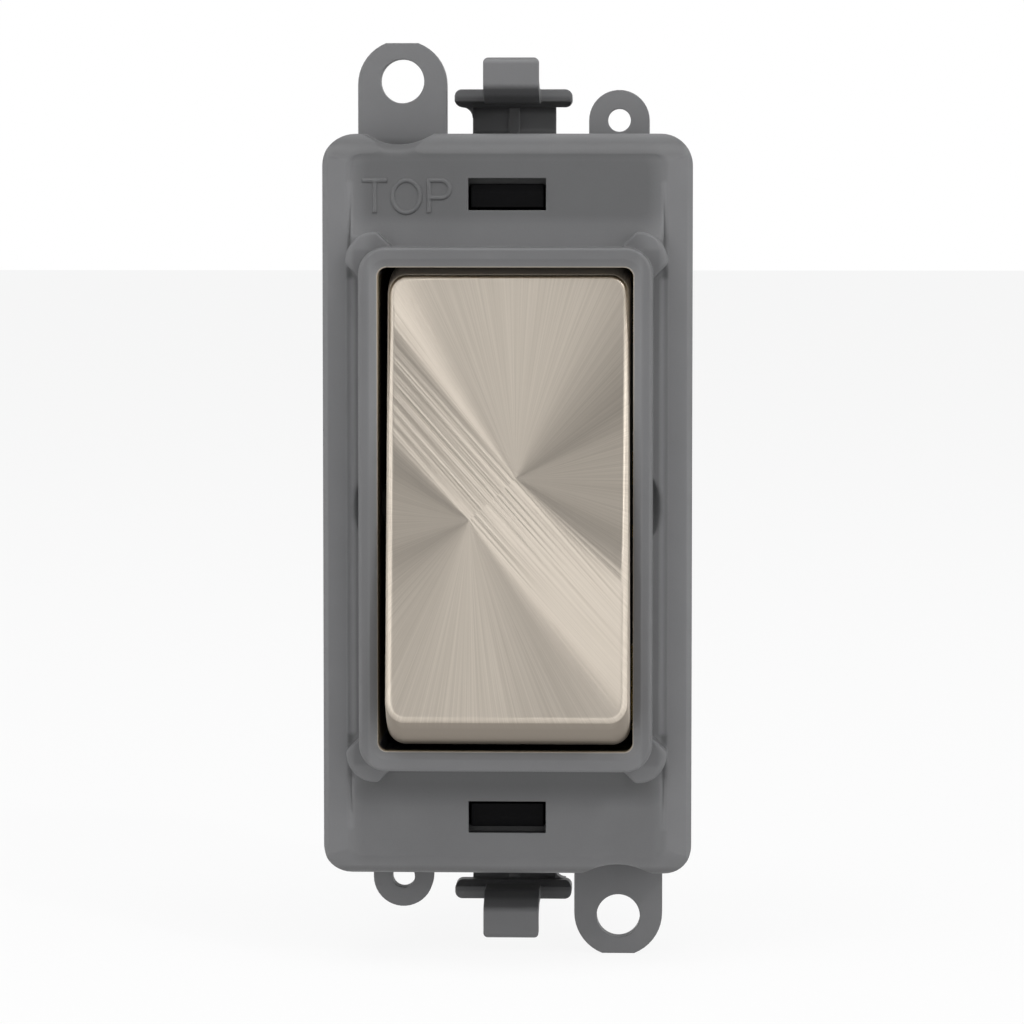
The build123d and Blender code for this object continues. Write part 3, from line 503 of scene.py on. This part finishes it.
# Lays a round bead along each line, sunk so far that it stands out by the rise and is as wide
# as the stroke where it meets the surface
def raisedWord(look):
    depthAt = frontSurface("front_housing")
    radius = (look["stroke"] ** 2 / 4 + look["rise"] ** 2) / (2 * look["rise"])
    sink = radius - look["rise"]
    curve = bpy.data.curves.new("top_mark", "CURVE")
    curve.dimensions = "3D"
    curve.bevel_depth = radius * mm
    curve.bevel_resolution = look["roundness"]
    curve.use_fill_caps = True
    for line in letterLines(look):
        points = dividedLine(line, look["pointGap"])
        spline = curve.splines.new("POLY")
        spline.points.add(len(points) - 1)
        for point, (across, up) in zip(spline.points, points):
            x = (look["left"] + across) * mm
            z = (look["foot"] + up) * mm
            point.co = (x, depthAt(x, z) + sink * mm, z, 1)
    word = bpy.data.objects.new("top_mark", curve)
    scene.collection.objects.link(word)
    curve.materials.append(housingPlastic)
    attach(word, "root")


raisedWord(wordLook)
print("raised word done")

# Camera, with its places and lens in millimetres and its near limit in metres
cameraLook = {
    "eye": (13.6, -358.6, 23.65), "target": (0.36, -8.6, -0.37),
    "lens": 166.0, "sensor": 36.0, "near": 0.01,
}
cameraData = bpy.data.cameras.new("camera")
cameraData.lens = cameraLook["lens"]
cameraData.sensor_width = cameraLook["sensor"]
cameraData.clip_start = cameraLook["near"]
camera = bpy.data.objects.new("camera", cameraData)
camera.location = Vector(cameraLook["eye"]) * mm
aim = Vector(cameraLook["target"]) - Vector(cameraLook["eye"])
camera.rotation_euler = aim.to_track_quat("-Z", "Y").to_euler()
scene.collection.objects.link(camera)
scene.camera = camera

# Floor of white paper, its reach in metres and its drop below the module in millimetres. What
# is left of its own shade keeps the module's shadow.
paperLook = {
    "name": "white_paper_floor", "shade": "f2f2f2", "roughness": 0.9, "white": 0.9,
    "reach": 3.0, "drop": 0.05,
}


# 1 for rays that show the background: from the camera, mirrored by a surface or through glass
def backgroundRays(tree):
    rays = addNode(tree, "LightPath", output="Is Camera Ray")
    for kind in ("Is Glossy Ray", "Is Transmission Ray"):
        others = addNode(tree, "LightPath", output=kind)
        rays = addNode(tree, "Math", {0: rays, 1: others}, operation="MAXIMUM")
    return rays


def paperFloor(look):
    size = look["reach"]
    level = cadBox[0][2] - look["drop"] * mm
    sides = [(-size, -size), (size, -size), (size, size), (-size, size)]
    mesh = bpy.data.meshes.new("floor")
    mesh.from_pydata([(x, y, level) for x, y in sides], [], [(0, 1, 2, 3)])
    floor = bpy.data.objects.new("floor", mesh)
    scene.collection.objects.link(floor)
    material, tree, surface, _ = newMaterial(look["name"])
    surface.inputs["Base Color"].default_value = linearColour(look["shade"])
    surface.inputs["Roughness"].default_value = look["roughness"]
    shown = {0: backgroundRays(tree), 1: look["white"]}
    shown = addNode(tree, "Math", shown, operation="MULTIPLY")
    white = addNode(tree, "Emission", {"Color": linearColour("ffffff"), "Strength": 1.0})
    mixed = addNode(tree, "MixShader", {0: shown, 1: surface.outputs["BSDF"], 2: white})
    tree.links.new(mixed, tree.nodes["Material Output"].inputs["Surface"])
    mesh.materials.append(material)


paperFloor(paperLook)

# The camera sees white all round. A mirrored ray meets white only where it goes back past the
# plate, and elsewhere the dim room that lights the module, so that the cap keeps its dark fans.
worldLook = {
    "seen": "ffffff", "shade": "76787a", "strength": 1.0, "roomFrom": 0.0, "backdropFrom": 0.3,
}
world = bpy.data.worlds.new("studio")
world.use_nodes = True
scene.world = world
worldTree = world.node_tree
way = addNode(worldTree, "SeparateXYZ", {"Vector": addNode(worldTree, "TexCoord")}, "Y")
limits = {"From Min": worldLook["roomFrom"], "From Max": worldLook["backdropFrom"]}
backdropShare = addNode(worldTree, "MapRange", {"Value": way, **limits})
shown = {0: backgroundRays(worldTree), 1: backdropShare}
shown = addNode(worldTree, "Math", shown, operation="MULTIPLY")
seen = addNode(worldTree, "LightPath", output="Is Camera Ray")
seen = addNode(worldTree, "Math", {0: shown, 1: seen}, operation="MAXIMUM")
shades = {
    "Factor": seen,
    firstColour: linearColour(worldLook["shade"]),
    secondColour: linearColour(worldLook["seen"]),
}
backdrop = addNode(worldTree, "Mix", shades, mixedColour, data_type="RGBA")
background = worldTree.nodes["Background"]
worldTree.links.new(backdrop, background.inputs["Color"])
background.inputs["Strength"].default_value = worldLook["strength"]

# Soft boxes round the camera, in metres and watts. Azimuth is to the right of straight ahead,
# elevation above it. The key stands nearly square to the parallel strokes, so it lights their band.
softBoxes = {
    "key": {"azimuth": 37.8, "elevation": 36.0, "away": 2.0, "size": (0.12, 0.12), "power": 5.7},
    "left": {"azimuth": -34, "elevation": 8, "away": 0.7, "size": (0.35, 0.8), "power": 1.6},
    "right": {"azimuth": 34, "elevation": 8, "away": 0.7, "size": (0.35, 0.8), "power": 1.6},
    "leftRim": {"azimuth": -75, "elevation": 5, "away": 0.7, "size": (0.35, 0.8), "power": 2.1},
    "rightRim": {"azimuth": 75, "elevation": 5, "away": 0.7, "size": (0.35, 0.8), "power": 2.1},
    "top": {"azimuth": 0, "elevation": 68, "away": 0.7, "size": (0.6, 0.3), "power": 2.6},
}


def softBox(name, look):
    data = bpy.data.lights.new(name, "AREA")
    data.shape = "RECTANGLE"
    data.size, data.size_y = look["size"]
    data.energy = look["power"]
    turn = radians(look["azimuth"])
    rise = radians(look["elevation"])
    way = Vector((sin(turn) * cos(rise), -cos(turn) * cos(rise), sin(rise)))
    light = bpy.data.objects.new(name, data)
    light.location = way * look["away"]
    light.rotation_euler = (-way).to_track_quat("-Z", "Y").to_euler()
    scene.collection.objects.link(light)


for boxName, boxLook in softBoxes.items():
    softBox(boxName, boxLook)
scene.view_settings.view_transform = "Standard"
print("stage and lights done")
